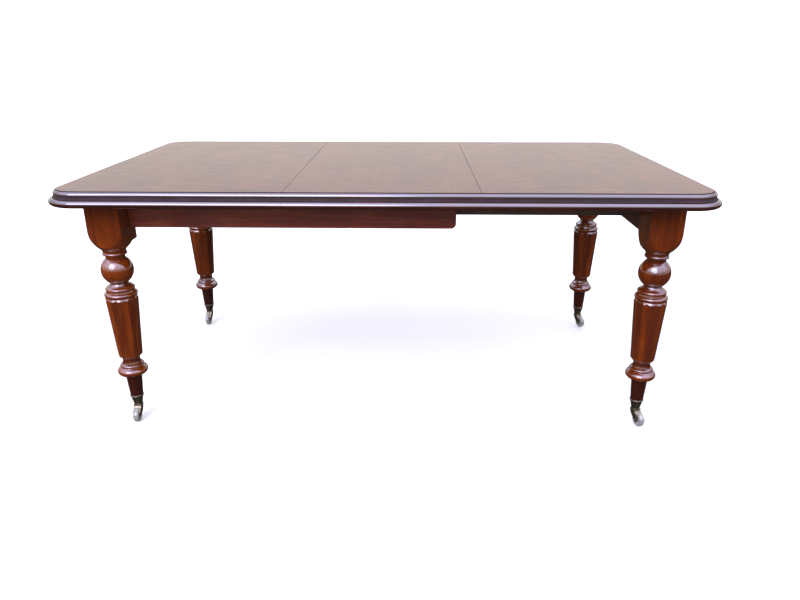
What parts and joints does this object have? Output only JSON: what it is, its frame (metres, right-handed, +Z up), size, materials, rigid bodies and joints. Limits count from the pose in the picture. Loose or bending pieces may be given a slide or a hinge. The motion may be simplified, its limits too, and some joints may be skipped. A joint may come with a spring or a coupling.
{
  "type": "extending dining table",
  "caption": "Wind-out extending dining table with a thumb-moulded top in two ends and a loose leaf, turned faceted legs and swivelling castors.",
  "frame": {"origin": "on the floor under the middle of the table, with the leaf in place", "axes": "+Z up; +X along the table towards the end that winds out; the front long side faces -Y"},
  "size_m": [1.806, 1.04, 0.74],
  "materials": {
    "mahogany_top": "French polished mahogany, glossy",
    "mahogany_frame": "dark stained and polished mahogany",
    "mahogany_leg": "French polished mahogany, glossy, worn warm",
    "hardwood_inner": "planed and unpolished",
    "castor_brass": "cast, aged and rubbed",
    "castor_pin_steel": "dull, riveted over",
    "wheel_ceramic": "white glazed, finely crazed",
    "screw_brass": "turned, dulled",
    "screw_iron": "dark, oiled"
  },
  "bodies": {
    "fixed_half": {"left_top": "mahogany_top", "left_end_moulding": "mahogany_top", "left_front_moulding": "mahogany_top", "left_rear_moulding": "mahogany_top", "front_apron": "mahogany_frame", "rear_apron": "mahogany_frame", "left_end_apron": "mahogany_frame", "front_guide": "hardwood_inner", "rear_guide": "hardwood_inner", "apron_cross_rail": "hardwood_inner", "front_left_corner_block": "mahogany_frame", "rear_left_corner_block": "mahogany_frame", "front_left_leg": "mahogany_leg", "rear_left_leg": "mahogany_leg", "front_left_castor_cup": "castor_brass", "rear_left_castor_cup": "castor_brass", "screw_bearing": "screw_iron", "screw_escutcheon": "screw_brass"},
    "leaf": {"centre_leaf": "mahogany_top", "leaf_front_moulding": "mahogany_top", "leaf_rear_moulding": "mahogany_top"},
    "moving_half": {"right_top": "mahogany_top", "right_end_moulding": "mahogany_top", "right_front_moulding": "mahogany_top", "right_rear_moulding": "mahogany_top", "right_end_apron": "mahogany_frame", "front_slide": "hardwood_inner", "rear_slide": "hardwood_inner", "slide_tail_rail": "hardwood_inner", "front_slide_corner_block": "hardwood_inner", "rear_slide_corner_block": "hardwood_inner", "screw_nut": "screw_brass", "front_right_leg": "mahogany_leg", "rear_right_leg": "mahogany_leg", "front_right_castor_cup": "castor_brass", "rear_right_castor_cup": "castor_brass"},
    "screw": {"winding_screw": "screw_iron", "outer_collar": "screw_iron"},
    "front_left_castor": {"front_left_castor_horn": "castor_brass", "front_left_castor_pin": "castor_pin_steel"},
    "front_left_wheel": {"front_left_castor_wheel": "wheel_ceramic"},
    "rear_left_castor": {"rear_left_castor_horn": "castor_brass", "rear_left_castor_pin": "castor_pin_steel"},
    "rear_left_wheel": {"rear_left_castor_wheel": "wheel_ceramic"},
    "front_right_castor": {"front_right_castor_horn": "castor_brass", "front_right_castor_pin": "castor_pin_steel"},
    "front_right_wheel": {"front_right_castor_wheel": "wheel_ceramic"},
    "rear_right_castor": {"rear_right_castor_horn": "castor_brass", "rear_right_castor_pin": "castor_pin_steel"},
    "rear_right_wheel": {"rear_right_castor_wheel": "wheel_ceramic"}
  },
  "joints": [
    {"name": "table_slide", "type": "slide", "parent": "fixed_half", "child": "moving_half", "axis": [1, 0, 0], "range_m": [-0.52, 0]},
    {"name": "screw_turn", "type": "hinge", "parent": "fixed_half", "child": "screw", "pos_m": [-0.5, 0, 0.682], "axis": [1, 0, 0], "range_deg": [0, 14401]},
    {"name": "leaf_lift", "type": "slide", "parent": "fixed_half", "child": "leaf", "axis": [0, 0, 1], "range_m": [0, 0.5201]},
    {"name": "front_left_swivel", "type": "hinge", "parent": "fixed_half", "child": "front_left_castor", "pos_m": [-0.773, -0.39, 0.0496], "axis": [0, 0, 1], "continuous": true},
    {"name": "front_left_roll", "type": "hinge", "parent": "front_left_castor", "child": "front_left_wheel", "pos_m": [-0.7723, -0.40999, 0.021], "axis": [0.9994, 0.0349, 0], "continuous": true},
    {"name": "rear_left_swivel", "type": "hinge", "parent": "fixed_half", "child": "rear_left_castor", "pos_m": [-0.773, 0.39, 0.0496], "axis": [0, 0, 1], "continuous": true},
    {"name": "rear_left_roll", "type": "hinge", "parent": "rear_left_castor", "child": "rear_left_wheel", "pos_m": [-0.77474, 0.37008, 0.021], "axis": [0.9962, -0.0872, 0], "continuous": true},
    {"name": "front_right_swivel", "type": "hinge", "parent": "moving_half", "child": "front_right_castor", "pos_m": [0.773, -0.39, 0.0496], "axis": [0, 0, 1], "continuous": true},
    {"name": "front_right_roll", "type": "hinge", "parent": "front_right_castor", "child": "front_right_wheel", "pos_m": [0.78049, -0.40854, 0.021], "axis": [0.9272, 0.3746, 0], "continuous": true},
    {"name": "rear_right_swivel", "type": "hinge", "parent": "moving_half", "child": "rear_right_castor", "pos_m": [0.773, 0.39, 0.0496], "axis": [0, 0, 1], "continuous": true},
    {"name": "rear_right_roll", "type": "hinge", "parent": "rear_right_castor", "child": "rear_right_wheel", "pos_m": [0.78239, 0.37234, 0.021], "axis": [0.8829, 0.4695, 0], "continuous": true}
  ],
  "couplings": [
    {"joint": "screw_turn", "follows": "table_slide", "rad_per_m": -483.32},
    {"joint": "leaf_lift", "follows": "table_slide", "ratio": -1}
  ]
}
